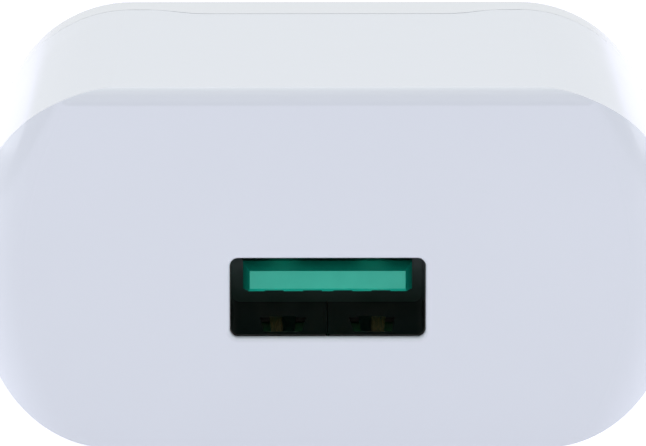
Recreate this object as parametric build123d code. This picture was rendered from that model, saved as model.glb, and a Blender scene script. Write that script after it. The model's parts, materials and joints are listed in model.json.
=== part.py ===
from build123d import *
import math
import os

# USB wall charger with a two-pin plug: a glossy two-piece case, a USB-A socket in its front face, and the
# power supply inside. All sizes are in millimetres. +X is right, +Y points out along the pins, +Z is up.
# The origin is midway between the pins, on the end face of the plug.

# Case
BODY_W = 46.2            # widest point, at mid height
BODY_H = 24.0
BODY_D = 34.5            # front face to the back of the case, without the plug
CORNER_R = 9.3           # long-axis corners, seen from the front
SIDE_BOW = 0.55          # radius of the two sides' bow, as a share of the width
SIDE_EDGE_R = 3.3        # round between the front face and the sides
TOP_EDGE_R = 1.1         # round along the top of the front face
LOW_EDGE_R = 0.35        # and along its bottom
REAR_EDGE_R = 0.5
CORNER_PROUD = 0.01      # the corners' surface stands this far out, so that it crosses the sides cleanly
WALL = 2.0
FRONT_WALL = 2.0
RIM_D = 3.8              # how much of the case's depth the rear cover makes
REAR_PLATE = 2.2
PART_GAP = 0.15          # hairline between the two case pieces
TAB_D = 1.5              # the cover's rim steps this far forward in the middle
TAB_HALF_FRONT = 8.0
TAB_HALF_REAR = 12.8
LIP_T = 1.0              # the cover's lip inside the housing
LIP_L = 5.0
LIP_FIT = 0.1
HOOK_W = 4.0
HOOK_D = 1.4
HOOK_OUT = 0.6
HOOK_X = 9.0
HOOK_LAND = 0.42         # flat on the hook's crest
HOOK_SET = 0.4           # from the lip's front edge to the pocket
HOOK_FIT = 0.15
POCKET_OVERCUT = 0.5

# Plug
BOSS_W = 35.3
BOSS_H = 13.7
BOSS_L = 17.0
BOSS_WALL = 1.8
BOSS_END = 4.0
BOSS_FLAT_X = 12.6       # half length of the plug's flat top
BOSS_FLAT_Z = 2.6        # half height of its flat ends
BOSS_R = 1.2
BOSS_EDGE_R = 0.6
PIN_PITCH = 19.0
PIN_D = 4.0
PIN_L = 19.0
PIN_TIP_R = 1.5
PIN_CORE_D = 3.2         # the pin inside its sleeve
SLEEVE_D = 3.9
SLEEVE_L = 10.0
SLEEVE_SUNK = 1.2        # how far the sleeve starts inside the plug's end wall
COLLAR_D = 5.6
COLLAR_T = 1.2
STUB_D = 2.8
STUB_L = 5.0
LEAD_D = 1.7
LEAD_SUNK = 2.0          # the lead's end inside the pin's solder cup
LEAD_BEND = 2.5
LEAD_HOLE_IN = 1.9       # the lead's hole in the board, from the cover's plate

# USB-A socket
PORT_UP = 10.13          # height of the socket's centre above the case's underside
WINDOW_W = 12.8
WINDOW_H = 5.3
WINDOW_R = 0.55
WINDOW_EDGE_R = 0.3
MOUTH_T = 0.7            # the steel shell starts this far behind the front face
SHELL_W = 13.3
SHELL_H = 5.72
SHELL_T = 0.3
SHELL_L = 14.0
SHELL_R = 0.8
SHELL_FIT = 0.12
SEAM_W = 0.06
SEAM_CORNER_R = 0.22     # rounds where the seam meets the mouth
SPRING_X = 2.95          # retention springs in the shell's floor and roof
SPRING_ROOT_T = 1.6      # from the front face
SPRING_L = 3.2
SPRING_RISE = 0.32
SPRING_ROOT_HALF = 0.74
SPRING_TIP_HALF = 0.9
SPRING_BITE = 0.15       # how far the spring's root reaches into the wall ahead of its slot
SLOT_END_T = 5.8
SLOT_ROOT_HALF = 1.25
SLOT_TIP_HALF = 1.52
SHELL_LEG_PLACES = (5.2, 11.0)
SHELL_LEG_L = 2.0
TONGUE_W = 11.1
TONGUE_T = 1.84
TONGUE_Z = 1.03          # tongue's centre above the socket's centre
TONGUE_TIP_T = 1.55      # from the front face
TONGUE_BASE_T = 10.6
TONGUE_BEVEL = 0.45      # the tip's lead-in, seen from the front
TONGUE_BEVEL_L = 1.1     # and along the tongue
TONGUE_LOW_BEVEL = 0.21
BASE_END_T = 14.6
CONTACT_X = (-3.5, -1.0, 1.0, 3.5)
CONTACT_NAMES = ("power_contact", "data_minus_contact", "data_plus_contact", "ground_contact")
CONTACT_W = 1.0
CONTACT_T = 0.2
CONTACT_PROUD = 0.4      # how far the contact stands below the tongue
CONTACT_SLOT_W = 1.24
CONTACT_SLOT_H = 1.25
SLOT_START = 0.5         # the deep part of the slot starts this far behind the tongue's tip
SLOT_NOTCH_H = 0.07      # the notch that runs out through the tip
CONTACT_ROOT_GAP = 0.06
CONTACT_ROOT_RISE = 0.5  # the root's height above the tongue's underside
CONTACT_LEVEL_L = 0.8
CONTACT_SLOPE_L = 5.9
CONTACT_CROWN_L = 6.5
CONTACT_NOSE_L = 7.0
CONTACT_TIP_L = 8.0
CROWN_SAG = 0.03
NOSE_LIFT = 0.1
TAIL_GAP = 0.6           # the tails drop this far behind the socket's base

# Circuit board
PCB_T = 1.6
PCB_SEAT = 0.1
PCB_SIDE_GAP = 0.3
PCB_END_GAP = 0.4
RIB_T = 1.2
RIB_BITE = 1.0           # how far the guide ribs reach over the board's edge
RIB_FIT = 0.1
RIB_START_T = 4.0
RIB_L = 18.0
LEG_D = 0.7              # component legs
LEG_OUT = 0.7            # legs below the board
LEG_SUNK = 0.5           # legs this far into the component
SOLDER_D = 1.7
SOLDER_H = 0.55
SOLDER_TOE = 0.15
AIR = 0.3                # least air between a component and the case

# Power parts, placed by their distance behind the front face
BARRIER_T = 16.5
BARRIER_THICK = 0.5
BARRIER_TAB_HALF = 4.0
BARRIER_TAB_OUT = 0.8
TRAFO_T = 23.4
CORE_W = 14.6
CORE_D = 6.2
CORE_LEG = 2.3
CORE_PLATE = 2.3
CORE_POST = 4.4
BOBBIN_WALL = 0.6
BOBBIN_FOOT = 1.2
BOBBIN_SIDE_GAP = 0.1
BOBBIN_PIN_STEP = 3.0
WINDING_D = 10.4
TAPE_T = 0.25
TAPE_GAP = 0.2
CAN_LIFT = 0.2           # a can's foot above the board
CAN_EDGE_R = 0.5
CAN_GROOVE_UP = 1.7
CAN_GROOVE_OUT = 0.25
CAN_GROOVE_R = 0.5
VENT_SPAN = 0.6          # scored cross, as a share of the can's diameter
VENT_W = 0.25
VENT_D = 0.3
BULK_D = 8.0
BULK_LEGS = 1.75         # half the distance between the two legs
BULK_T = 21.6
BULK_GAP = 0.8           # between the two mains capacitors
OUTPUT_D = 6.3
OUTPUT_H = 9.5
OUTPUT_LEGS = 1.25
OUTPUT_PLACES = ((-13.4, 6.4), (-13.4, 12.9))
CHOKE_D = 6.0
CHOKE_H = 8.0
CHOKE_FLANGE = 1.2
CHOKE_SLEEVE_IN = 0.25
CHOKE_LEGS = 1.5
CHOKE_PLACE = (15.0, 29.1)
FUSE_D = 3.0
FUSE_L = 7.4
FUSE_PLACE = (3.0, 29.2)
FUSE_LIFT = 0.5
FUSE_EDGE_R = 0.6
FUSE_LOOP = 1.0
FUSE_LEGS = 1.2
YCAP_D = 7.0
YCAP_T = 3.2
YCAP_LIFT = 1.0
YCAP_EDGE_R = 1.0
YCAP_LEGS = 2.5
YCAP_PLACE = (13.6, 12.8)
DAUGHTER_X = 9.2
DAUGHTER_T = 1.0
DAUGHTER_SPAN = (3.6, 11.6)
DAUGHTER_H = 9.0
IC_H = 1.5
IC_GAP = 0.1             # a chip's body stands this far off the board
IC_EDGE = 0.2
IC_FOOT_W = 0.4
IC_FOOT_L = 1.0
IC_FOOT_T = 0.25
IC_FOOT_OUT = 0.3
IC_PITCH = 1.0
SMALL_IC = (3.9, 4.9)
BRIDGE_SIZE = (4.0, 3.6)
BRIDGE_PLACE = (6.1, 28.8)
CONTROLLER_PLACE = (11.0, 25.4)
OPTO_SIZE = (4.4, 3.6)
OPTO_PLACE = (-1.0, 20.5)
PROTOCOL_T = 1.2
PROTOCOL_HALF_W = 1.8
PROTOCOL_HALF_H = 1.5
PROTOCOL_FOOT_OUT = 2.2
PROTOCOL_FOOT_T = 0.2
PROTOCOL_PITCH = 0.95
PASSIVE_HALF_L = 0.8
PASSIVE_HALF_W = 0.4
PASSIVE_H = 0.6
PASSIVE_ROWS = 4
PASSIVE_PITCH = 2.1
PASSIVE_START = 5.0
PASSIVE_COLUMNS = (-16.6, 3.4, 14.6)
PASSIVE_SHIFT = (0, 1.4, 1.4)  # every other row is moved over, in each column
UPPER_PASSIVES = 3
UPPER_START = 1.6        # from the daughter board's front and top edges
UPPER_PITCH = 2.2
PAD_PLACE = (-9.6, 13.5)
PAD_HALF = (2.6, 2.2)
SHEET_T = 0.3
SHEET_SPAN = (3.0, 24.5)

SIDE_R = SIDE_BOW * BODY_W
PORT_Z = PORT_UP - BODY_H / 2
FRONT_Y = -(BODY_D + BOSS_L)
REAR_Y = -BOSS_L
PART_Y = REAR_Y - RIM_D
CAVITY_TOP = BODY_H / 2 - WALL
CAVITY_BOTTOM = -CAVITY_TOP
LIP_INSET = WALL + LIP_FIT
LIP_START_Y = PART_Y - LIP_L
PLATE_Y = REAR_Y - REAR_PLATE
PCB_TOP = PORT_Z - SHELL_H / 2 - PCB_SEAT
PCB_BOTTOM = PCB_TOP - PCB_T
TONGUE_BOTTOM = PORT_Z + TONGUE_Z - TONGUE_T / 2
CORNER_Z = BODY_H / 2 - CORNER_R
CORNER_SPAN = SIDE_R - CORNER_R
CORNER_X = BODY_W / 2 - SIDE_R + math.sqrt(CORNER_SPAN**2 - CORNER_Z**2)
HEAD_TOP = CAVITY_TOP - LIP_FIT - LIP_T - AIR


def at(depth):
    """Y of a place this far behind the front face."""
    return FRONT_Y + depth


def block(x0, x1, y0, y1, z0, z1):
    """A box between two corners."""
    return Pos((x0 + x1) / 2, (y0 + y1) / 2, (z0 + z1) / 2) * Box(x1 - x0, y1 - y0, z1 - z0)


def rod_y(x, z, radius, y0, y1):
    """A round bar along Y."""
    bar = Cylinder(radius, y1 - y0, align=(Align.CENTER, Align.CENTER, Align.MIN))
    return Pos(x, y0, z) * Rot(X=-90) * bar


def rod_z(x, y, radius, z0, z1):
    """A round bar along Z."""
    bar = Cylinder(radius, z1 - z0, align=(Align.CENTER, Align.CENTER, Align.MIN))
    return Pos(x, y, z0) * bar


def prism_y(sketch, y0, y1):
    """A front-view sketch (local x, y become X, Z) carried along Y."""
    return Pos(0, y0, 0) * extrude(Plane.XZ * sketch, amount=y1 - y0, dir=(0, 1, 0))


def prism_x(points, x0, x1):
    """A side-view polygon of (y, z) points carried along X."""
    return Pos(x0, 0, 0) * extrude(Plane.YZ * Polygon(*points, align=None), amount=x1 - x0, dir=(1, 0, 0))


def section(inset):
    """The case's outline from the front, moved inwards: flat top, corner arcs, bowed sides, all tangent."""
    side = SIDE_R - inset
    corner = CORNER_R - inset
    angle = math.asin(CORNER_Z / CORNER_SPAN)
    side_x = BODY_W / 2 - SIDE_R
    join = (side_x + side * math.cos(angle), side * math.sin(angle))
    middle = (math.pi / 2 + angle) / 2
    bend = (CORNER_X + corner * math.cos(middle), CORNER_Z + corner * math.sin(middle))
    top = (CORNER_X, BODY_H / 2 - inset)
    right = [
        ThreePointArc((top[0], -top[1]), (bend[0], -bend[1]), (join[0], -join[1])),
        ThreePointArc((join[0], -join[1]), (side_x + side, 0), join),
        ThreePointArc(join, bend, top),
    ]
    left = [
        ThreePointArc((-top[0], top[1]), (-bend[0], bend[1]), (-join[0], join[1])),
        ThreePointArc((-join[0], join[1]), (-side_x - side, 0), (-join[0], -join[1])),
        ThreePointArc((-join[0], -join[1]), (-bend[0], -bend[1]), (-top[0], -top[1])),
    ]
    top_line = Line(top, (-top[0], top[1]))
    bottom_line = Line((-top[0], -top[1]), (top[0], -top[1]))
    return make_face(right + [top_line] + left + [bottom_line])


def half_width(z, inset):
    """Half the width of that outline at height z."""
    side = SIDE_R - inset
    corner = CORNER_R - inset
    if abs(z) <= side * CORNER_Z / CORNER_SPAN:
        return BODY_W / 2 - SIDE_R + math.sqrt(side**2 - z**2)
    return CORNER_X + math.sqrt(corner**2 - (abs(z) - CORNER_Z) ** 2)


def trafo_x():
    """The transformer stands as far left as the cover's lip lets its top corner go."""
    return CORE_W / 2 + AIR - half_width(HEAD_TOP, LIP_INSET + LIP_T)


def tab_prism(top, grow):
    """The step in the parting line, as a plan-view S-curve, through the top or the bottom of the case."""
    front = PART_Y - TAB_D - grow
    rear = PART_Y + PART_GAP
    wide = TAB_HALF_REAR + grow
    narrow = TAB_HALF_FRONT + grow
    right = Spline((narrow, front), (wide, rear), tangents=((1, 0), (1, 0)))
    left = Spline((-wide, rear), (-narrow, front), tangents=((1, 0), (1, 0)))
    step = Line((-narrow, front), (narrow, front))
    plan = make_face([step, right, Line((wide, rear), (-wide, rear)), left])
    low = BODY_H / 4
    solid = extrude(plan, amount=BODY_H / 2, dir=(0, 0, 1))
    return Pos(0, 0, low if top else -low - BODY_H / 2) * solid


def rounded_block():
    """The case's outside with its front rounds: a slab, two round-edged discs for the sides, the corners."""
    slab = block(-BODY_W, BODY_W, FRONT_Y, PART_Y, -BODY_H / 2, BODY_H / 2)
    for place, radius in ((0, LOW_EDGE_R), (-1, TOP_EDGE_R)):
        edge = slab.edges().filter_by(Axis.X).group_by(Axis.Y)[0].sort_by(Axis.Z)[place]
        slab = fillet(edge, radius)
    for side in (1, -1):
        disc = rod_y(side * (BODY_W / 2 - SIDE_R), 0, SIDE_R, FRONT_Y, PART_Y)
        disc = fillet(disc.edges().filter_by(GeomType.CIRCLE).sort_by(Axis.Y)[0], SIDE_EDGE_R)
        slab = slab & disc
    return slab & prism_y(section(-CORNER_PROUD), FRONT_Y - 1, PART_Y)


def hook_seats():
    """Places of the four snap hooks: x and the side of the case they bite into."""
    return [(x, side) for x in (-HOOK_X, HOOK_X) for side in (1, -1)]


def front_housing():
    """Cup with the USB window, board guides, hook pockets and the notches for the cover's tabs."""
    cup = rounded_block() - prism_y(section(WALL), at(FRONT_WALL), PART_Y + 1)
    for top in (True, False):
        cup -= tab_prism(top, PART_GAP)
    window = Pos(0, PORT_Z) * RectangleRounded(WINDOW_W, WINDOW_H, WINDOW_R)
    cup -= prism_y(window, FRONT_Y - 1, at(FRONT_WALL) + 1)
    seat_w = SHELL_W + 2 * SHELL_FIT
    seat_h = SHELL_H + 2 * SHELL_FIT
    seat = Pos(0, PORT_Z) * RectangleRounded(seat_w, seat_h, SHELL_R + SHELL_FIT)
    cup -= prism_y(seat, at(MOUTH_T) - PCB_SEAT, at(FRONT_WALL) + 1)
    reach = WINDOW_W / 2 + 0.1
    rim = cup.edges().filter_by_position(Axis.Y, FRONT_Y - 0.01, FRONT_Y + 0.01)
    rim = rim.filter_by_position(Axis.X, -reach, reach).filter_by_position(
        Axis.Z, PORT_Z - WINDOW_H / 2 - 0.1, PORT_Z + WINDOW_H / 2 + 0.1
    )
    cup = fillet(rim, WINDOW_EDGE_R)
    for side in (1, -1):
        for z0 in (PCB_TOP + RIB_FIT, PCB_BOTTOM - RIB_FIT - RIB_T):
            inner = side * (board_half_width() - RIB_BITE)
            outer = side * BODY_W / 2
            ends = (at(RIB_START_T), at(RIB_START_T + RIB_L))
            rib = block(min(inner, outer), max(inner, outer), *ends, z0, z0 + RIB_T)
            cup += rib & prism_y(section(WALL / 2), FRONT_Y, PART_Y)
    for x, side in hook_seats():
        half = HOOK_W / 2 + HOOK_FIT
        depth = side * (CAVITY_TOP + LIP_FIT + HOOK_OUT)
        low, high = sorted((side * (CAVITY_TOP - POCKET_OVERCUT), depth))
        pocket_y = LIP_START_Y + HOOK_SET
        cup -= block(x - half, x + half, pocket_y, pocket_y + HOOK_D + 2 * HOOK_FIT, low, high)
    return cup


def boss_sketch(inset):
    """The plug's long hexagon with rounded corners, moved inwards."""
    wide = BOSS_W / 2
    high = BOSS_H / 2
    points = [
        (wide, BOSS_FLAT_Z),
        (BOSS_FLAT_X, high),
        (-BOSS_FLAT_X, high),
        (-wide, BOSS_FLAT_Z),
        (-wide, -BOSS_FLAT_Z),
        (-BOSS_FLAT_X, -high),
        (BOSS_FLAT_X, -high),
        (wide, -BOSS_FLAT_Z),
    ]
    outer = Polygon(*points, align=None)
    if inset:
        outer = offset(outer, -inset, kind=Kind.INTERSECTION)
    return fillet(outer.vertices(), BOSS_R)


def pin_places():
    return {"live": PIN_PITCH / 2, "neutral": -PIN_PITCH / 2}


def pin_solid(x):
    """A turned brass pin: round tip, slim core for the sleeve, a collar held in the plug, a solder cup."""
    tip = rod_y(x, 0, PIN_D / 2, SLEEVE_L, PIN_L)
    tip = fillet(tip.edges().filter_by(GeomType.CIRCLE).sort_by(Axis.Y)[-1], PIN_TIP_R)
    core = rod_y(x, 0, PIN_CORE_D / 2, -SLEEVE_SUNK - 0.5, SLEEVE_L)
    shank = rod_y(x, 0, PIN_D / 2, -BOSS_END - 0.5, -SLEEVE_SUNK)
    collar_y = -BOSS_END + (BOSS_END - SLEEVE_SUNK) / 2
    collar = rod_y(x, 0, COLLAR_D / 2, collar_y - COLLAR_T / 2, collar_y + COLLAR_T / 2)
    stub_y = -BOSS_END - STUB_L
    stub = rod_y(x, 0, STUB_D / 2, stub_y, -BOSS_END)
    cup = rod_y(x, 0, LEAD_D / 2, stub_y - 1, stub_y + LEAD_SUNK)
    return tip + core + shank + collar + stub - cup


def sleeve_solid(x):
    """The insulating sleeve on the pin's root."""
    bore = rod_y(x, 0, PIN_CORE_D / 2, -SLEEVE_SUNK - 1, SLEEVE_L + 1)
    return rod_y(x, 0, SLEEVE_D / 2, -SLEEVE_SUNK, SLEEVE_L) - bore


def rear_cover():
    """Rim, back plate, hollow plug with two moulded-in pins, locating lip with snap hooks, and tabs."""
    start = PART_Y + PART_GAP
    rim = prism_y(section(0), start, REAR_Y)
    rear_loop = rim.faces().sort_by(Axis.Y)[-1].edges()
    rim = fillet(rear_loop, REAR_EDGE_R)
    rim -= prism_y(section(LIP_INSET + LIP_T), start - 1, PLATE_Y)
    lip = prism_y(section(LIP_INSET), LIP_START_Y, start + 0.5)
    lip -= prism_y(section(LIP_INSET + LIP_T), LIP_START_Y - 1, start + 1)
    cover = rim + lip
    ring = prism_y(section(0), PART_Y - TAB_D - 1, start + 0.5)
    ring -= prism_y(section(LIP_INSET + LIP_T / 2), PART_Y - TAB_D - 2, start + 1)
    for top in (True, False):
        cover += ring & tab_prism(top, 0)
    boss = prism_y(boss_sketch(0), PLATE_Y, 0)
    boss = fillet(boss.faces().sort_by(Axis.Y)[-1].edges(), BOSS_EDGE_R)
    cover += boss
    cover -= prism_y(boss_sketch(BOSS_WALL), PLATE_Y - 1, -BOSS_END)
    for x, side in hook_seats():
        root = side * (CAVITY_TOP - LIP_FIT - LIP_T / 2)
        crest = side * (CAVITY_TOP - LIP_FIT + HOOK_OUT)
        hook_y = LIP_START_Y + HOOK_SET + HOOK_FIT
        rear = hook_y + HOOK_D
        ramp = [(hook_y, root), (rear, root), (rear, crest), (rear - HOOK_LAND, crest)]
        cover += prism_x(ramp, x - HOOK_W / 2, x + HOOK_W / 2)
    for x in pin_places().values():
        cover -= pin_solid(x)
        cover -= sleeve_solid(x)
    return cover


def lead_solid(x):
    """Insulated lead from the pin's solder cup, forward and down into the board."""
    start = (x, -BOSS_END - STUB_L + LEAD_SUNK, 0)
    corner = (x, lead_hole_y(), 0)
    end = (x, lead_hole_y(), PCB_BOTTOM - LEG_OUT)
    path = FilletPolyline(start, corner, end, radius=LEAD_BEND)
    round_section = Plane(origin=start, z_dir=(0, -1, 0)) * Circle(LEAD_D / 2)
    return sweep(round_section, path=path)


def lead_hole_y():
    return PLATE_Y - LEAD_HOLE_IN


def board_half_width():
    """The board fills the case at the level of its underside, less a gap each side."""
    return half_width(PCB_BOTTOM, WALL) - PCB_SIDE_GAP


def board_y():
    return at(FRONT_WALL) + PCB_END_GAP, PLATE_Y - PCB_END_GAP


def leg_places():
    """Every round component leg that goes through the board, as (x, y, diameter)."""
    legs = []
    for x, depth in bulk_places():
        legs += [(x - BULK_LEGS, at(depth), LEG_D), (x + BULK_LEGS, at(depth), LEG_D)]
    for x, depth in OUTPUT_PLACES:
        legs += [(x, at(depth) - OUTPUT_LEGS, LEG_D), (x, at(depth) + OUTPUT_LEGS, LEG_D)]
    x, depth = CHOKE_PLACE
    legs += [(x - CHOKE_LEGS, at(depth), LEG_D), (x + CHOKE_LEGS, at(depth), LEG_D)]
    x, depth = FUSE_PLACE
    legs += [(x, at(depth) - FUSE_LEGS, LEG_D), (x, at(depth) + FUSE_LEGS, LEG_D)]
    x, depth = YCAP_PLACE
    legs += [(x - YCAP_LEGS, at(depth), LEG_D), (x + YCAP_LEGS, at(depth), LEG_D)]
    for row in (-1, 1):
        for step in (-1, 0, 1):
            legs.append((trafo_x() + step * BOBBIN_PIN_STEP, at(TRAFO_T) + row * bobbin_pin_reach(), LEG_D))
    return legs


def bobbin_pin_reach():
    return WINDING_D / 2 - LEG_D


def tail_y():
    return at(BASE_END_T) + TAIL_GAP


def main_pcb():
    """Board with a narrower tail between the cover's lips, and a hole for every leg."""
    y0, y1 = board_y()
    half = board_half_width()
    waist = half_width(PCB_BOTTOM, LIP_INSET + LIP_T) - PCB_SIDE_GAP
    board = block(-half, half, y0, LIP_START_Y - PCB_END_GAP, PCB_BOTTOM, PCB_TOP)
    board += block(-waist, waist, y0, y1, PCB_BOTTOM, PCB_TOP)
    for x, y, size in leg_places():
        board -= rod_z(x, y, size / 2, PCB_BOTTOM - 1, PCB_TOP + 1)
    for x in pin_places().values():
        board -= rod_z(x, lead_hole_y(), LEAD_D / 2, PCB_BOTTOM - 1, PCB_TOP + 1)
    for x in CONTACT_X:
        board -= tail_hole(x)
    for leg in shell_legs():
        board -= leg
    board -= barrier_foot()
    return board


def tail_hole(x):
    half = CONTACT_W / 2
    return block(x - half, x + half, tail_y(), tail_y() + CONTACT_T, PCB_BOTTOM - 1, PCB_TOP + 1)


def shell_legs():
    """Four folded legs that hold the shell in the board."""
    legs = []
    for x0 in (-SHELL_W / 2, SHELL_W / 2 - SHELL_T):
        for depth in SHELL_LEG_PLACES:
            low = PCB_BOTTOM - LEG_OUT
            legs.append(block(x0, x0 + SHELL_T, at(depth), at(depth) + SHELL_LEG_L, low, PORT_Z))
    return legs


def wedge_slot(front_half, rear_half, y0, y1, z0, z1):
    """A slot that widens towards the rear, cut through a flat wall."""
    plan = Polygon((-front_half, y0), (front_half, y0), (rear_half, y1), (-rear_half, y1), align=None)
    return Pos(0, 0, z0) * extrude(plan, amount=z1 - z0, dir=(0, 0, 1))


def floor_spring(side):
    """A retention spring: a tongue of the wall, rooted at the front, that leans into the socket."""
    tilt = side * math.degrees(math.asin(SPRING_RISE / SPRING_L))
    leaf = wedge_slot(SPRING_ROOT_HALF, SPRING_TIP_HALF, -SPRING_BITE, SPRING_L, -SHELL_T / 2, SHELL_T / 2)
    z = PORT_Z - side * (SHELL_H / 2 - SHELL_T / 2)
    return Pos(0, at(SPRING_ROOT_T), z) * Rot(X=tilt) * leaf


def usb_shell():
    """Folded steel shell with its seam along the floor, retention springs and board legs."""
    outer = Pos(0, PORT_Z) * RectangleRounded(SHELL_W, SHELL_H, SHELL_R)
    inner = Pos(0, PORT_Z) * RectangleRounded(SHELL_W - 2 * SHELL_T, SHELL_H - 2 * SHELL_T, SHELL_R - SHELL_T)
    shell = prism_y(outer, at(MOUTH_T), at(MOUTH_T + SHELL_L))
    shell -= prism_y(inner, at(MOUTH_T) - 1, at(MOUTH_T + SHELL_L) + 1)
    floor_z = PORT_Z - SHELL_H / 2
    roof_z = PORT_Z + SHELL_H / 2 - SHELL_T
    seam_rear = at(MOUTH_T + SHELL_L) + 1
    shell -= block(-SEAM_W / 2, SEAM_W / 2, at(MOUTH_T) - 1, seam_rear, floor_z - 1, floor_z + 2 * SHELL_T)
    corners = shell.edges().filter_by(Axis.Z).group_by(Axis.Y)[0]
    corners = corners.filter_by_position(Axis.X, -SEAM_W, SEAM_W)
    shell = fillet(corners, SEAM_CORNER_R)
    for side, z0 in ((1, floor_z), (-1, roof_z)):
        for x in (-SPRING_X, SPRING_X):
            ends = (at(SPRING_ROOT_T), at(SLOT_END_T))
            slot = wedge_slot(SLOT_ROOT_HALF, SLOT_TIP_HALF, *ends, z0 - SHELL_T, z0 + 2 * SHELL_T)
            shell -= Pos(x, 0, 0) * slot
            shell += Pos(x, 0, 0) * floor_spring(side)
    for leg in shell_legs():
        shell += leg
    return shell


def contact_root():
    """Hinge line of the contact springs: y and z."""
    return at(TONGUE_BASE_T) - CONTACT_ROOT_GAP, TONGUE_BOTTOM + CONTACT_ROOT_RISE


def contact_profile():
    """Side view of a contact spring: level root, long slope down to the crown, and a lifted tip."""
    y, z = contact_root()
    crown = TONGUE_BOTTOM - CONTACT_PROUD
    line = [
        (y, z),
        (y - CONTACT_LEVEL_L, z),
        (y - CONTACT_SLOPE_L, crown + CROWN_SAG),
        (y - CONTACT_CROWN_L, crown),
        (y - CONTACT_NOSE_L, crown + NOSE_LIFT),
        (y - CONTACT_TIP_L, z),
    ]
    half = CONTACT_T / 2
    lower = [(py, pz - half if pz > crown + NOSE_LIFT else pz) for py, pz in line]
    upper = [(py, pz + half if pz > crown + NOSE_LIFT else pz + CONTACT_T) for py, pz in reversed(line)]
    return lower + upper


def contact_spring(x):
    return prism_x(contact_profile(), x - CONTACT_W / 2, x + CONTACT_W / 2)


def tail_solid(x):
    """The fixed end of a contact: through the insulator's base, out behind it, and down through the board."""
    z = contact_root()[1]
    half = CONTACT_T / 2
    low = PCB_BOTTOM - LEG_OUT
    left, right = x - CONTACT_W / 2, x + CONTACT_W / 2
    run = block(left, right, at(TONGUE_BASE_T), tail_y() + CONTACT_T, z - half, z + half)
    return run + block(left, right, tail_y(), tail_y() + CONTACT_T, low, z + half)


def usb_insulator():
    """Tongue with bevelled tip and a slot under it for each contact, on a base that closes the shell."""
    z = PORT_Z + TONGUE_Z
    low, high = z - TONGUE_T / 2, z + TONGUE_T / 2
    tongue = block(-TONGUE_W / 2, TONGUE_W / 2, at(TONGUE_TIP_T), at(TONGUE_BASE_T), low, high)
    tip = tongue.faces().sort_by(Axis.Y)[0]
    upper = tip.edges().sort_by(Axis.Z)[1:]
    tongue = chamfer(upper, TONGUE_BEVEL, TONGUE_BEVEL_L, reference=tip)
    low_edge = tongue.faces().sort_by(Axis.Y)[0].edges().sort_by(Axis.Z)[0]
    tongue = chamfer(low_edge, TONGUE_LOW_BEVEL)
    inner = Pos(0, PORT_Z) * RectangleRounded(SHELL_W - 2 * SHELL_T, SHELL_H - 2 * SHELL_T, SHELL_R - SHELL_T)
    body = tongue + prism_y(inner, at(TONGUE_BASE_T), at(BASE_END_T))
    slot = CONTACT_SLOT_W / 2
    below = TONGUE_BOTTOM - 1
    for x in CONTACT_X:
        start = at(TONGUE_TIP_T + SLOT_START)
        end = at(TONGUE_BASE_T)
        body -= block(x - slot, x + slot, start, end, below, TONGUE_BOTTOM + CONTACT_SLOT_H)
        body -= block(x - slot, x + slot, at(TONGUE_TIP_T) - 1, start, below, TONGUE_BOTTOM + SLOT_NOTCH_H)
        body -= tail_solid(x)
    return body


def legs_near(centre_x, centre_y, reach_x, reach_y, top):
    """The legs in a component's footprint, from below the board up into the component."""
    legs = []
    for x, y, size in leg_places():
        if abs(x - centre_x) <= reach_x and abs(y - centre_y) <= reach_y:
            legs.append(rod_z(x, y, size / 2, PCB_BOTTOM - LEG_OUT, top))
    return legs


def capacitor(x, depth, size, height):
    """Radial can on two legs: rolled groove near its foot, softened top, and a cross scored in the vent."""
    foot = PCB_TOP + CAN_LIFT
    can = rod_z(x, at(depth), size / 2, foot, foot + height)
    can = fillet(can.edges().filter_by(GeomType.CIRCLE), CAN_EDGE_R)
    can -= Pos(x, at(depth), foot + CAN_GROOVE_UP) * Torus(size / 2 + CAN_GROOVE_OUT, CAN_GROOVE_R)
    top = foot + height
    for turn in (45, 135):
        can -= Pos(x, at(depth), top) * Rot(Z=turn) * Box(size * VENT_SPAN, VENT_W, VENT_D)
    for leg in legs_near(x, at(depth), size / 2, size / 2, foot + LEG_SUNK):
        can += leg
    return can


def bulk_places():
    """The two mains capacitors side by side, the outer one clear of the board's guide rib."""
    outer = board_half_width() - RIB_BITE - AIR - BULK_D / 2
    return (outer - BULK_D - BULK_GAP, BULK_T), (outer, BULK_T)


def bulk_height():
    """Both mains capacitors are as tall as the case's corner lets the outer one be."""
    reach = bulk_places()[-1][0] + BULK_D / 2
    corner = CORNER_R - WALL
    ceiling = CORNER_Z + math.sqrt(corner**2 - max(reach - CORNER_X, 0) ** 2)
    return ceiling - AIR - PCB_TOP - CAN_LIFT


def trafo_levels():
    """Heights of the transformer: foot, core bottom, core top."""
    return PCB_TOP, PCB_TOP + BOBBIN_FOOT, HEAD_TOP - TAPE_T


def core_half(upper):
    """One E-shaped ferrite: a plate, two outer legs and the round middle post, up to the joint."""
    _, low, high = trafo_levels()
    joint = (low + high) / 2
    y = at(TRAFO_T)
    edge = high if upper else low
    inward = -1 if upper else 1
    plate_z = sorted((edge, edge + inward * CORE_PLATE))
    leg_z = sorted((edge, joint))
    half = CORE_W / 2
    solid = block(trafo_x() - half, trafo_x() + half, y - CORE_D / 2, y + CORE_D / 2, *plate_z)
    for x0 in (trafo_x() - half, trafo_x() + half - CORE_LEG):
        solid += block(x0, x0 + CORE_LEG, y - CORE_D / 2, y + CORE_D / 2, *leg_z)
    return solid + rod_z(trafo_x(), y, CORE_POST / 2, *leg_z)


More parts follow.
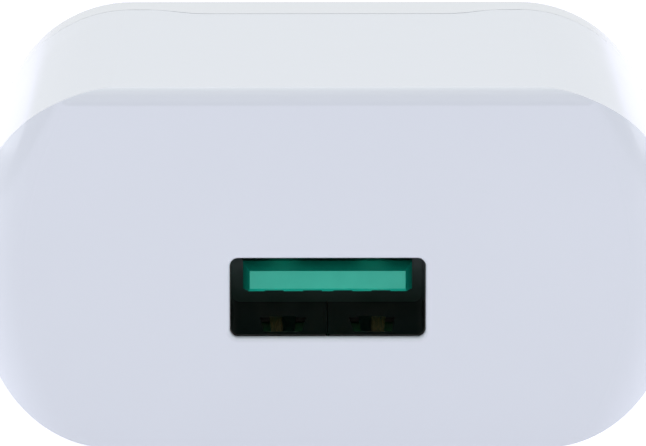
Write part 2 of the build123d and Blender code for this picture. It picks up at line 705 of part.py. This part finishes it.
def transformer_bobbin():
    """Tube round the core's post with two flanges, and a footed rail each side that carries the pins."""
    foot, low, high = trafo_levels()
    y = at(TRAFO_T)
    inner = CORE_W / 2 - CORE_LEG - BOBBIN_SIDE_GAP
    tube_r = CORE_POST / 2 + BOBBIN_WALL
    z0 = low + CORE_PLATE
    z1 = high - CORE_PLATE
    solid = rod_z(trafo_x(), y, tube_r, z0, z1)
    for level in (z0, z1 - BOBBIN_WALL):
        near, far = y - WINDING_D / 2, y + WINDING_D / 2
        solid += block(trafo_x() - inner, trafo_x() + inner, near, far, level, level + BOBBIN_WALL)
    for row in (-1, 1):
        ends = sorted((y + row * CORE_D / 2, y + row * WINDING_D / 2))
        solid += block(trafo_x() - inner, trafo_x() + inner, *ends, foot, z0 + BOBBIN_WALL)
    for leg in legs_near(trafo_x(), y, CORE_W / 2, WINDING_D / 2, foot + LEG_SUNK):
        solid += leg
    return solid - rod_z(trafo_x(), y, CORE_POST / 2, foot - 1, high + 1)


def winding_ring(outer_d, inner_r):
    """A wound ring between the bobbin's flanges."""
    _, low, high = trafo_levels()
    z0 = low + CORE_PLATE + BOBBIN_WALL
    z1 = high - CORE_PLATE - BOBBIN_WALL
    y = at(TRAFO_T)
    return rod_z(trafo_x(), y, outer_d / 2, z0, z1) - rod_z(trafo_x(), y, inner_r, z0 - 1, z1 + 1)


def winding_size():
    return min(WINDING_D, CORE_W - 2 * CORE_LEG) - 2 * TAPE_T - 2 * TAPE_GAP


def filter_choke():
    """Drum core wound with enamelled wire, in a shrink sleeve, on two legs."""
    x, depth = CHOKE_PLACE
    drum = rod_z(x, at(depth), CHOKE_D / 2, PCB_TOP, PCB_TOP + CHOKE_H)
    neck = rod_z(x, at(depth), CHOKE_D, PCB_TOP + CHOKE_FLANGE, PCB_TOP + CHOKE_H - CHOKE_FLANGE)
    drum -= neck - rod_z(x, at(depth), CHOKE_D / 2 - CHOKE_SLEEVE_IN, PCB_TOP, PCB_TOP + CHOKE_H)
    for leg in legs_near(x, at(depth), CHOKE_D / 2, CHOKE_D / 2, PCB_TOP + LEG_SUNK):
        drum += leg
    return drum


def fusible_resistor():
    """Upright resistor: a barrel on end with one leg folded over beside it."""
    x, depth = FUSE_PLACE
    y0 = at(depth) - FUSE_LEGS
    y1 = at(depth) + FUSE_LEGS
    foot = PCB_TOP + FUSE_LIFT
    top = foot + FUSE_L + FUSE_LOOP
    barrel = rod_z(x, y0, FUSE_D / 2, foot, foot + FUSE_L)
    barrel = fillet(barrel.edges().filter_by(GeomType.CIRCLE), FUSE_EDGE_R)
    barrel += rod_z(x, y0, LEG_D / 2, PCB_BOTTOM - LEG_OUT, top)
    barrel += rod_z(x, y1, LEG_D / 2, PCB_BOTTOM - LEG_OUT, top)
    return barrel + rod_y(x, top, LEG_D / 2, y0 - LEG_D / 2, y1 + LEG_D / 2)


def y_capacitor():
    """Disc capacitor standing on two legs."""
    x, depth = YCAP_PLACE
    z = PCB_TOP + YCAP_LIFT + YCAP_D / 2
    disc = rod_y(x, z, YCAP_D / 2, at(depth) - YCAP_T / 2, at(depth) + YCAP_T / 2)
    disc = fillet(disc.edges().filter_by(GeomType.CIRCLE), YCAP_EDGE_R)
    for leg in legs_near(x, at(depth), YCAP_D / 2, YCAP_T, z):
        disc += leg
    return disc


def barrier_foot():
    """The tab of the barrier that goes through the board."""
    y = at(BARRIER_T)
    half = BARRIER_TAB_HALF
    return block(-half, half, y, y + BARRIER_THICK, PCB_BOTTOM - BARRIER_TAB_OUT, PCB_TOP + BARRIER_THICK)


def isolation_barrier():
    """Upright sheet between the mains side and the USB side."""
    y = at(BARRIER_T)
    half = half_width(HEAD_TOP, WALL) - AIR
    wall = block(-half, half, y, y + BARRIER_THICK, PCB_TOP, HEAD_TOP)
    return wall + barrier_foot()


def chip(x, depth, wide, deep, legs_along_x):
    """A gull-wing chip under the board: body, and a row of feet on two sides."""
    y = at(depth)
    z0 = PCB_BOTTOM - IC_H
    body = block(x - wide / 2, x + wide / 2, y - deep / 2, y + deep / 2, z0, PCB_BOTTOM - IC_GAP)
    body = chamfer(body.faces().sort_by(Axis.Z)[0].edges(), IC_EDGE)
    across, along = IC_FOOT_L / 2, IC_FOOT_W / 2
    for step in (-1.5, -0.5, 0.5, 1.5):
        for side in (-1, 1):
            shift = step * IC_PITCH
            if legs_along_x:
                middle = (x + shift, y + side * (deep / 2 + IC_FOOT_OUT))
                half = (along, across)
            else:
                middle = (x + side * (wide / 2 + IC_FOOT_OUT), y + shift)
                half = (across, along)
            low = (middle[0] - half[0], middle[1] - half[1])
            high = (middle[0] + half[0], middle[1] + half[1])
            body += block(low[0], high[0], low[1], high[1], PCB_BOTTOM - IC_FOOT_T, PCB_BOTTOM)
    return body


def daughter_board():
    """Small upright board that speaks to the device being charged."""
    y0, y1 = (at(depth) for depth in DAUGHTER_SPAN)
    return block(DAUGHTER_X, DAUGHTER_X + DAUGHTER_T, y0, y1, PCB_TOP, PCB_TOP + DAUGHTER_H)


def protocol_ic():
    """Flat chip on the outer face of the daughter board."""
    y = at(sum(DAUGHTER_SPAN) / 2)
    x0 = DAUGHTER_X + DAUGHTER_T
    z = PCB_TOP + DAUGHTER_H / 2
    wide, high = PROTOCOL_HALF_W, PROTOCOL_HALF_H
    body = block(x0, x0 + PROTOCOL_T, y - wide, y + wide, z - high, z + high)
    body = chamfer(body.faces().sort_by(Axis.X)[-1].edges(), IC_EDGE)
    across, along = IC_FOOT_L / 2, IC_FOOT_W / 2
    for step in (-1, 0, 1):
        for side in (-1, 1):
            foot_y = y + side * PROTOCOL_FOOT_OUT
            foot_z = z + step * PROTOCOL_PITCH
            low, high = foot_z - along, foot_z + along
            body += block(x0, x0 + PROTOCOL_FOOT_T, foot_y - across, foot_y + across, low, high)
    return body


def smd_passives():
    """Chip resistors and ceramic capacitors, under the main board and on the daughter board."""
    chips = []
    long, short = PASSIVE_HALF_L, PASSIVE_HALF_W
    for row in range(PASSIVE_ROWS):
        for column, shift in zip(PASSIVE_COLUMNS, PASSIVE_SHIFT):
            x = column + shift * (row % 2)
            y = at(PASSIVE_START + PASSIVE_PITCH * row)
            chips.append(block(x - long, x + long, y - short, y + short, PCB_BOTTOM - PASSIVE_H, PCB_BOTTOM))
    x0 = DAUGHTER_X + DAUGHTER_T
    z = PCB_TOP + DAUGHTER_H - UPPER_START
    for row in range(UPPER_PASSIVES):
        y = at(DAUGHTER_SPAN[0] + UPPER_START + UPPER_PITCH * row)
        chips.append(block(x0, x0 + PASSIVE_H, y - long, y + long, z - short, z + short))
    return Compound(children=chips)


def thermal_pad():
    """Soft pad that carries the rectifier chip's heat to the case's floor."""
    x, depth = PAD_PLACE
    floor = CAVITY_BOTTOM + SHEET_T
    half_x, half_y = PAD_HALF
    return block(x - half_x, x + half_x, at(depth) - half_y, at(depth) + half_y, floor, PCB_BOTTOM - IC_H)


def insulation_sheet():
    y0, y1 = (at(depth) for depth in SHEET_SPAN)
    half = CORNER_X - AIR
    return block(-half, half, y0, y1, CAVITY_BOTTOM, CAVITY_BOTTOM + SHEET_T)


def solder_joints():
    """A cone of solder round every leg under the board."""
    joints = []
    holes = list(leg_places())
    holes += [(x, lead_hole_y(), LEAD_D) for x in pin_places().values()]
    for x, y, size in holes:
        wide = SOLDER_D / 2 + (size - LEG_D) / 2
        align = (Align.CENTER, Align.CENTER, Align.MAX)
        cone = Pos(x, y, PCB_BOTTOM) * Cone(size / 2 + SOLDER_TOE, wide, SOLDER_H, align=align)
        joints.append(cone - rod_z(x, y, size / 2, PCB_BOTTOM - 2, PCB_BOTTOM + 1))
    return Compound(children=joints)


def write(name, shape):
    export_step(shape, f"parts/{name}.step")


os.makedirs("parts", exist_ok=True)
write("front_housing", front_housing())
write("rear_cover", rear_cover())
for wire, pin_x in pin_places().items():
    write(f"{wire}_pin", pin_solid(pin_x))
    write(f"{wire}_sleeve", sleeve_solid(pin_x))
    write(f"{wire}_lead", lead_solid(pin_x))
write("main_pcb", main_pcb())
write("usb_shell", usb_shell())
write("usb_insulator", usb_insulator())
for contact, contact_x in zip(CONTACT_NAMES, CONTACT_X):
    write(contact, contact_spring(contact_x))
write("contact_tails", Compound(children=[tail_solid(x) for x in CONTACT_X]))
write("transformer_core_upper", core_half(True))
write("transformer_core_lower", core_half(False))
write("transformer_bobbin", transformer_bobbin())
write("transformer_winding", winding_ring(winding_size(), CORE_POST / 2 + BOBBIN_WALL))
write("transformer_tape", winding_ring(winding_size() + 2 * TAPE_T, winding_size() / 2))
for label, place in zip(("inner", "outer"), bulk_places()):
    write(f"bulk_capacitor_{label}", capacitor(*place, BULK_D, bulk_height()))
for label, place in zip(("front", "rear"), OUTPUT_PLACES):
    write(f"output_capacitor_{label}", capacitor(*place, OUTPUT_D, OUTPUT_H))
write("filter_choke", filter_choke())
write("fusible_resistor", fusible_resistor())
write("y_capacitor", y_capacitor())
write("isolation_barrier", isolation_barrier())
write("bridge_rectifier", chip(*BRIDGE_PLACE, *BRIDGE_SIZE, True))
write("controller_ic", chip(*CONTROLLER_PLACE, *SMALL_IC, False))
write("sync_rectifier_ic", chip(*PAD_PLACE, *SMALL_IC, False))
write("optocoupler", chip(*OPTO_PLACE, *OPTO_SIZE, True))
write("daughter_board", daughter_board())
write("protocol_ic", protocol_ic())
write("smd_passives", smd_passives())
write("thermal_pad", thermal_pad())
write("insulation_sheet", insulation_sheet())
write("solder_joints", solder_joints())
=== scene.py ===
import json
import math

import bpy
import numpy as np
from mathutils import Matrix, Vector


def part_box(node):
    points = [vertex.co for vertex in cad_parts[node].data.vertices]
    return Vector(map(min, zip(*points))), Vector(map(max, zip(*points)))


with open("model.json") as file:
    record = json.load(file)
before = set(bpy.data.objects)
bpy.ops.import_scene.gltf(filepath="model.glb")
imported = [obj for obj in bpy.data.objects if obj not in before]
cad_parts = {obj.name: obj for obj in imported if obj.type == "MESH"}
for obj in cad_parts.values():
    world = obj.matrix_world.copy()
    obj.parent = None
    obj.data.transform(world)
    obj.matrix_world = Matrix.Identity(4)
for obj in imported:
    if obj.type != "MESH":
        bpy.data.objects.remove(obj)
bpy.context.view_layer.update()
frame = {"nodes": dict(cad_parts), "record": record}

MM = 0.001
FACE_LOW, FACE_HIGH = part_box("front_housing")
BASE_Z = FACE_LOW.z
FACE_CENTRE = Vector(((FACE_LOW.x + FACE_HIGH.x) / 2, FACE_LOW.y, (FACE_LOW.z + FACE_HIGH.z) / 2))

# Camera: distance from the face's centre, its angles, its lens, and how far the aim lies from that centre
CAMERA_DISTANCE = 386 * MM
CAMERA_HEIGHT_ANGLE = math.radians(12.2)
CAMERA_SIDE_ANGLE = math.radians(-0.31)
CAMERA_LENS = 329.8
CAMERA_SENSOR = 36.0
CAMERA_CLIP = 10 * MM
AIM_RIGHT = -0.31 * MM
AIM_UP = 3.1 * MM

# The socket's springs, painted brighter as a highlight: distance from the middle, half width, and where they
# lie behind the front face
SPRING_X = 2.95 * MM
SPRING_HALF = 0.9 * MM
SPRING_NEAR = FACE_LOW.y + 1.6 * MM
SPRING_FAR = FACE_LOW.y + 4.8 * MM
# How wide the soft edge of the springs' painted highlight is
HIGHLIGHT_BLEND = 0.2 * MM

# Painted shade: the green moulding turns darker between these depths behind the front face, standing in for
# the light falling off inside the socket
PAINTED_SHADE_NEAR = FACE_LOW.y + 3.5 * MM
PAINTED_SHADE_FAR = FACE_LOW.y + 8.0 * MM

# Most of a noise texture's values lie between these two
NOISE_LOW = 0.3
NOISE_HIGH = 0.7

# The table's half width in metres, and the points along each side of its grid
TABLE_HALF = 3.0
TABLE_POINTS = 7

# The room's glow: its level in front of the case and behind it, and how far along Y the change reaches
GLOW_FRONT = 0.38
GLOW_BACK = 0.85
GLOW_REACH = 0.6
GLOW_COLOUR = "#FAFCFF"

# Softboxes: name, place and size in metres, how bright each looks, and its colour
SOFTBOXES = (
    ("overhead", (0.0, 0.25, 0.7), (1.6, 1.6), 0.33, "#FFFFFC"),
    ("front_top", (0.0, -0.6, 0.65), (1.6, 0.9), 0.43, "#F2F4FF"),
    ("side_softbox", (-0.92, -0.1, 0.4), (0.8, 0.6), 1.6, "#F4F6FF"),
    ("side_softbox", (0.92, -0.1, 0.4), (0.8, 0.6), 1.6, "#F4F6FF"),
)


def linear(code):
    """A hex sRGB colour as linear RGBA: each channel undoes the sRGB curve."""
    channels = [int(code[i : i + 2], 16) / 255 for i in (1, 3, 5)]
    return [c / 12.92 if c <= 0.04045 else ((c + 0.055) / 1.055) ** 2.4 for c in channels] + [1.0]


def add(tree, kind, inputs=None, **settings):
    """One node, with its settings, its input values, and a link for each input that is given a socket."""
    made = tree.nodes.new(kind)
    for name, value in settings.items():
        setattr(made, name, value)
    for name, value in (inputs or {}).items():
        if isinstance(value, bpy.types.NodeSocket):
            tree.links.new(value, made.inputs[name])
        else:
            made.inputs[name].default_value = value
    return made


def new_material(name):
    """An empty material: its tree, the Principled shader, and the Object coordinates of its piece."""
    material = bpy.data.materials.new(name)
    material.use_nodes = True
    tree = material.node_tree
    tree.nodes.clear()
    shader = add(tree, "ShaderNodeBsdfPrincipled")
    add(tree, "ShaderNodeOutputMaterial", {"Surface": shader.outputs[0]})
    place = add(tree, "ShaderNodeTexCoord").outputs["Object"]
    return material, tree, shader, place


def per_metre(size_mm):
    """A texture scale whose features are about this many millimetres apart."""
    return 1 / (size_mm * MM)


def lay_finish(tree, shader, tone, pattern, roughness, relief, relief_mm):
    """The tone, a gloss that follows the pattern, and a relief that bends the reflections."""
    spread = {"Value": pattern, "From Min": NOISE_LOW, "From Max": NOISE_HIGH}
    spread.update({"To Min": roughness[0], "To Max": roughness[1]})
    gloss = add(tree, "ShaderNodeMapRange", spread)
    skin = add(tree, "ShaderNodeBump", {"Height": relief, "Distance": relief_mm * MM, "Strength": 1.0})
    tree.links.new(tone, shader.inputs["Base Color"])
    tree.links.new(gloss.outputs["Result"], shader.inputs["Roughness"])
    tree.links.new(skin.outputs["Normal"], shader.inputs["Normal"])


def moulded(name, light, dark, roughness, ior, peel_mm, peel_height_mm, mottle_mm, depth_shade_tone=None):
    """Injection-moulded plastic: two close tones drift over the part and the gloss drifts with them, a low
    orange peel bends the reflections, and for the socket a painted shade darkens the plastic with depth."""
    material, tree, shader, place = new_material(name)
    mottle = {"Vector": place, "Scale": per_metre(mottle_mm), "Detail": 3.0}
    drift = add(tree, "ShaderNodeTexNoise", mottle).outputs["Fac"]
    tones = {"Factor": drift, "A": linear(light), "B": linear(dark)}
    tone = add(tree, "ShaderNodeMix", tones, data_type="RGBA").outputs["Result"]
    # Painted shade: the tone darkens towards the given dark green deeper in the socket, where less light
    # reaches
    if depth_shade_tone:
        depth = add(tree, "ShaderNodeSeparateXYZ", {"Vector": place}).outputs["Y"]
        change = {"Value": depth, "From Min": PAINTED_SHADE_NEAR, "From Max": PAINTED_SHADE_FAR}
        shade_amount = add(tree, "ShaderNodeMapRange", change, interpolation_type="SMOOTHSTEP").outputs["Result"]
        tones = {"Factor": shade_amount, "A": tone, "B": linear(depth_shade_tone)}
        tone = add(tree, "ShaderNodeMix", tones, data_type="RGBA").outputs["Result"]
    orange_peel = {"Vector": place, "Scale": per_metre(peel_mm), "Detail": 2.0}
    peel = add(tree, "ShaderNodeTexNoise", orange_peel).outputs["Fac"]
    lay_finish(tree, shader, tone, drift, roughness, peel, peel_height_mm)
    shader.inputs["IOR"].default_value = ior
    return material


def spring_highlight_mask(tree, place):
    """1 on the socket's springs, which carry a painted highlight that makes the plating bright, and 0 on the
    rest of the shell: a soft step in the distance from a spring's middle, times one at each of its ends."""
    axes = add(tree, "ShaderNodeSeparateXYZ", {"Vector": place}).outputs
    from_middle = add(tree, "ShaderNodeMath", {0: axes["X"]}, operation="ABSOLUTE").outputs[0]
    from_spring = add(tree, "ShaderNodeMath", {0: from_middle, 1: SPRING_X}, operation="SUBTRACT").outputs[0]
    aside = add(tree, "ShaderNodeMath", {0: from_spring}, operation="ABSOLUTE").outputs[0]
    edges = (
        (aside, SPRING_HALF + HIGHLIGHT_BLEND, SPRING_HALF),
        (axes["Y"], SPRING_NEAR - HIGHLIGHT_BLEND, SPRING_NEAR),
        (axes["Y"], SPRING_FAR + HIGHLIGHT_BLEND, SPRING_FAR),
    )
    mask = 1.0
    for value, start, end in edges:
        change = {"Value": value, "From Min": start, "From Max": end}
        step = add(tree, "ShaderNodeMapRange", change, interpolation_type="SMOOTHSTEP").outputs["Result"]
        mask = add(tree, "ShaderNodeMath", {0: mask, 1: step}, operation="MULTIPLY").outputs[0]
    return mask


def grained_metal(name, light, dark, roughness, grain_mm, depth_mm, spring_highlight_tone=None):
    """Plated or rolled metal: fine grain stretched along one way, tone and gloss that follow it, and for the
    socket's springs a brighter tone as a painted highlight."""
    material, tree, shader, place = new_material(name)
    stretch = {"Vector": place, "Scale": [per_metre(g) for g in grain_mm]}
    stretched = add(tree, "ShaderNodeMapping", stretch).outputs[0]
    grain = add(tree, "ShaderNodeTexNoise", {"Vector": stretched, "Scale": 1.0, "Detail": 4.0}).outputs["Fac"]
    tones = {"Factor": grain, "A": linear(light), "B": linear(dark)}
    tone = add(tree, "ShaderNodeMix", tones, data_type="RGBA").outputs["Result"]
    # Painted highlight: the springs get a brighter tone
    if spring_highlight_tone:
        tones = {"Factor": spring_highlight_mask(tree, place), "A": tone, "B": linear(spring_highlight_tone)}
        tone = add(tree, "ShaderNodeMix", tones, data_type="RGBA").outputs["Result"]
    lay_finish(tree, shader, tone, grain, roughness, grain, depth_mm)
    shader.inputs["Metallic"].default_value = 1.0
    return material


def case_polycarbonate():
    """Polycarbonate, moulded in a polished tool: cool white, glossy, with a barely felt orange peel."""
    return moulded(
        "case_polycarbonate",
        "#DFE3E7",
        "#DCE0E4",
        roughness=(0.10, 0.16),
        ior=1.585,
        peel_mm=1.4,
        peel_height_mm=0.0012,
        mottle_mm=14,
    )


def cover_polycarbonate():
    """The same resin from another batch: a touch warmer."""
    return moulded(
        "cover_polycarbonate",
        "#E0E3E4",
        "#DDE0E1",
        roughness=(0.12, 0.18),
        ior=1.585,
        peel_mm=1.4,
        peel_height_mm=0.0012,
        mottle_mm=14,
    )


def socket_pbt():
    """Glass-filled PBT in green: satin, faintly speckled by the fibres, and darkened in the socket's depth by
    painted shade."""
    return moulded(
        "socket_pbt",
        "#12BA9A",
        "#0FAE90",
        roughness=(0.28, 0.40),
        ior=1.55,
        peel_mm=0.25,
        peel_height_mm=0.002,
        mottle_mm=0.9,
        # Painted shade: the dark green the moulding turns to deep in the socket
        depth_shade_tone="#04513F",
    )


def sleeve_polyamide():
    """Polyamide sleeve: dark grey, satin."""
    return moulded(
        "sleeve_polyamide",
        "#4A4C50",
        "#3E4044",
        roughness=(0.36, 0.46),
        ior=1.53,
        peel_mm=0.6,
        peel_height_mm=0.003,
        mottle_mm=4,
    )


def nickel_plated_steel():
    """Cold-rolled steel strip, nickel plated: soft streaks, a dark grey tone that is painted shade, darker
    than bare nickel, and a bright tone on the springs that is a painted highlight."""
    return grained_metal(
        "nickel_plated_steel",
        # Painted shade: both tones are darker than bare nickel, for the shade inside the socket
        "#403F3B",
        "#353430",
        roughness=(0.07, 0.14),
        grain_mm=(0.12, 3.0, 0.12),
        depth_mm=0.0003,
        # Painted highlight: the bright tone of the springs
        spring_highlight_tone="#DEDBD2",
    )


def nickel_plated_brass():
    """Turned brass pin, nickel plated: bright, with turning marks round it."""
    return grained_metal(
        "nickel_plated_brass",
        "#DAD4C8",
        "#C7C1B4",
        roughness=(0.10, 0.20),
        grain_mm=(6.0, 0.10, 6.0),
        depth_mm=0.0008,
    )


def gold_flash():
    """Phosphor bronze with a flash of gold on its crown: warm yellow, softly brushed along the strip."""
    return grained_metal(
        "gold_flash", "#FFDF8C", "#F2CC74", roughness=(0.2, 0.3), grain_mm=(0.1, 1.5, 0.1), depth_mm=0.0004
    )


def enamelled_copper():
    """Enamelled copper wire, wound in turns: orange-brown, ribbed once for each turn."""
    return grained_metal(
        "enamelled_copper", "#C4763A", "#A85F2C", roughness=(0.25, 0.35), grain_mm=(3, 3, 0.25), depth_mm=0.03
    )


def drawn_aluminium():
    """Deep-drawn aluminium can: pale grey, with faint lines along the draw."""
    return grained_metal(
        "drawn_aluminium", "#D8D9DB", "#C6C8CA", roughness=(0.2, 0.3), grain_mm=(0.2, 0.2, 3), depth_mm=0.001
    )


def tin_solder():
    """Tin solder, cooled from the bath: bright grey, a little uneven."""
    return grained_metal(
        "tin_solder", "#CDD0D3", "#B9BDC1", roughness=(0.2, 0.35), grain_mm=(0.3, 0.3, 0.3), depth_mm=0.004
    )


def satin(name, light, dark):
    """A satin moulding or coating for the pieces inside the case: soft highlights, slightly mottled."""
    return moulded(
        name, light, dark, roughness=(0.35, 0.5), ior=1.5, peel_mm=0.5, peel_height_mm=0.004, mottle_mm=2.5
    )


# The finish of each slot
MATERIALS = {
    "white_case": case_polycarbonate(),
    "plug_pin": nickel_plated_brass(),
    "pin_sleeve": sleeve_polyamide(),
    "port_steel": nickel_plated_steel(),
    "green_plastic": socket_pbt(),
    "gold_contact": gold_flash(),
    # Extruded PVC on the leads: even, waxy colour
    "brown_insulation": satin("brown_pvc", "#5A3A22", "#4E311C"),
    "blue_insulation": satin("blue_pvc", "#27569C", "#1F4B8C"),
    # Screen-printed solder mask: deep green, lacquered
    "circuit_board": satin("solder_mask", "#1F5F38", "#184F2E"),
    # Pressed and sintered powder: near black, with a slight grain
    "ferrite": satin("sintered_ferrite", "#33343A", "#292A2F"),
    # Transfer-moulded phenolic: brownish black
    "bobbin_plastic": satin("phenolic", "#2A2725", "#211F1D"),
    "enamelled_copper": enamelled_copper(),
    # Polyester film tape: strong yellow with a soft sheen
    "yellow_tape": satin("polyester_tape", "#E8BE2E", "#DDB022"),
    # Heat-shrunk sleeves: taut dark skins
    "capacitor_sleeve": satin("pvc_shrink_sleeve", "#1B2744", "#15203A"),
    "capacitor_can": drawn_aluminium(),
    "choke_sleeve": satin("black_shrink_sleeve", "#1C1C1E", "#151517"),
    # Dipped coatings: grey-green cement and blue epoxy, both slightly uneven
    "resistor_coating": satin("cement_coating", "#7E9A84", "#6F8B76"),
    "blue_coating": satin("epoxy_dip", "#2F63B4", "#2757A3"),
    # Moulded epoxy chips: flat black
    "chip_plastic": satin("moulded_epoxy", "#232325", "#1A1A1C"),
    # Fired ceramic: light brown
    "chip_ceramic": satin("barium_titanate", "#A58A68", "#927857"),
    # Filled silicone pad: rubbery grey-blue
    "thermal_silicone": satin("filled_silicone", "#8FA0B4", "#8192A6"),
    # Polyester film: milky cream
    "clear_sheet": satin("polyester_sheet", "#E6DFC4", "#DDD5B8"),
    "solder": tin_solder(),
}


def dress_nodes():
    """Gives every CAD node the material of its slot."""
    cover = cover_polycarbonate()
    for row in frame["record"]["subparts"]:
        piece = frame["nodes"][row["node"]]
        finish = cover if row["node"] == "rear_cover" else MATERIALS[row["material_slot"]]
        piece.data.materials.clear()
        piece.data.materials.append(finish)


def opal_acrylic():
    """Opal acrylic table top, lit from below: mostly its own even glow, with a faint tooth."""
    material, tree, shader, place = new_material("opal_acrylic")
    grit = {"Vector": place, "Scale": per_metre(1.5), "Detail": 4.0}
    tooth = add(tree, "ShaderNodeTexNoise", grit).outputs["Fac"]
    skin = add(tree, "ShaderNodeBump", {"Height": tooth, "Distance": 0.01 * MM, "Strength": 0.3})
    shader.inputs["Base Color"].default_value = linear("#959595")
    shader.inputs["Roughness"].default_value = 0.9
    shader.inputs["Specular IOR Level"].default_value = 0.1
    shader.inputs["Emission Color"].default_value = linear("#F0F0FF")
    shader.inputs["Emission Strength"].default_value = 0.92
    tree.links.new(skin.outputs["Normal"], shader.inputs["Normal"])
    return material


def floor():
    """A flat sheet at the case's underside: x and y run over a coarse grid, z is constant."""
    steps = np.linspace(-TABLE_HALF, TABLE_HALF, TABLE_POINTS)
    x, y = np.meshgrid(steps, steps)
    points = np.stack([x.ravel(), y.ravel(), np.full(x.size, BASE_Z)], axis=1)
    n = TABLE_POINTS
    corner = (np.arange(n - 1)[:, None] * n + np.arange(n - 1)).ravel()
    quads = np.stack([corner, corner + 1, corner + n + 1, corner + n], axis=1)
    mesh = bpy.data.meshes.new("floor")
    mesh.from_pydata(points.tolist(), [], quads.tolist())
    mesh.materials.append(opal_acrylic())
    piece = bpy.data.objects.new("floor", mesh)
    bpy.context.collection.objects.link(piece)


def soft_light(name, place, size, brightness, colour):
    """A rectangular softbox that faces the case, given by how bright it looks."""
    lamp = bpy.data.lights.new(name, "AREA")
    lamp.shape = "RECTANGLE"
    lamp.size, lamp.size_y = size
    lamp.energy = brightness * math.pi * size[0] * size[1]
    lamp.color = linear(colour)[:3]
    holder = bpy.data.objects.new(name, lamp)
    holder.location = place
    holder.rotation_euler = (FACE_CENTRE - Vector(place)).to_track_quat("-Z", "Y").to_euler()
    bpy.context.collection.objects.link(holder)


def studio():
    """A room whose glow rises smoothly from the front of the case to behind it, and its softboxes."""
    world = bpy.data.worlds.new("studio")
    bpy.context.scene.world = world
    world.use_nodes = True
    tree = world.node_tree
    tree.nodes.clear()
    way = add(tree, "ShaderNodeTexCoord").outputs["Generated"]
    depth = add(tree, "ShaderNodeSeparateXYZ", {"Vector": way}).outputs["Y"]
    level = {"Value": depth, "From Min": -GLOW_REACH, "From Max": GLOW_REACH}
    level.update({"To Min": GLOW_FRONT, "To Max": GLOW_BACK})
    glow = add(tree, "ShaderNodeMapRange", level, interpolation_type="SMOOTHSTEP").outputs["Result"]
    back = add(tree, "ShaderNodeBackground", {"Color": linear(GLOW_COLOUR), "Strength": glow})
    add(tree, "ShaderNodeOutputWorld", {"Surface": back.outputs[0]})
    for softbox in SOFTBOXES:
        soft_light(*softbox)
    bpy.context.scene.view_settings.view_transform = "Standard"


def camera():
    """Looks down at the front face from a little above it."""
    flat = CAMERA_DISTANCE * math.cos(CAMERA_HEIGHT_ANGLE)
    offset = Vector(
        (
            flat * math.sin(CAMERA_SIDE_ANGLE),
            -flat * math.cos(CAMERA_SIDE_ANGLE),
            CAMERA_DISTANCE * math.sin(CAMERA_HEIGHT_ANGLE),
        )
    )
    up = Vector((0, math.sin(CAMERA_HEIGHT_ANGLE), math.cos(CAMERA_HEIGHT_ANGLE)))
    aim = FACE_CENTRE + Vector((AIM_RIGHT, 0, 0)) + AIM_UP * up
    lens = bpy.data.cameras.new("camera")
    lens.lens = CAMERA_LENS
    lens.sensor_width = CAMERA_SENSOR
    lens.clip_start = CAMERA_CLIP
    holder = bpy.data.objects.new("camera", lens)
    holder.location = FACE_CENTRE + offset
    holder.rotation_euler = (aim - holder.location).to_track_quat("-Z", "Y").to_euler()
    bpy.context.collection.objects.link(holder)
    bpy.context.scene.camera = holder


dress_nodes()
floor()
studio()
camera()
